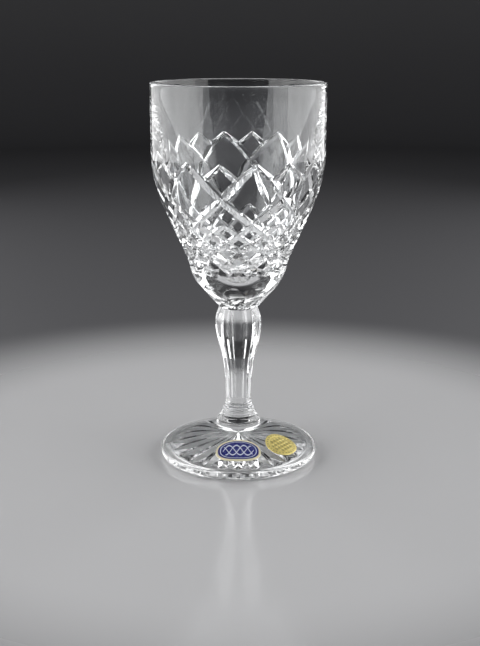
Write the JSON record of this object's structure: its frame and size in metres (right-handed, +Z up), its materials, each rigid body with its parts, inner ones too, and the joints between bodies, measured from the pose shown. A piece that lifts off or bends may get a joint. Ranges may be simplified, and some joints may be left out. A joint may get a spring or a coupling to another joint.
{
  "type": "crystal goblet",
  "caption": "Stemmed wine glass in cut crystal: diamond-cut bowl with a plain rim, faceted baluster stem, round star-cut foot with oval foil labels.",
  "frame": {"origin": "middle of the foot's resting face, on the axis", "axes": "+Z up the axis of the goblet, from foot to rim; -Y is the front, where the blue label is; +X is to the right of that front"},
  "size_m": [0.072, 0.072, 0.16],
  "materials": {
    "crystal": "clear lead crystal, polished, bright in the cuts",
    "pale_gold_foil": "smooth metallised foil",
    "blue_print": "glossy royal blue print",
    "gold_foil": "embossed metallised foil"
  },
  "bodies": {
    "root": {"bowl": "crystal", "stem": "crystal", "foot_collar": "crystal", "foot": "crystal", "blue_label_foil": "pale_gold_foil", "blue_label_face": "blue_print", "gold_label": "gold_foil"}
  },
  "joints": []
}
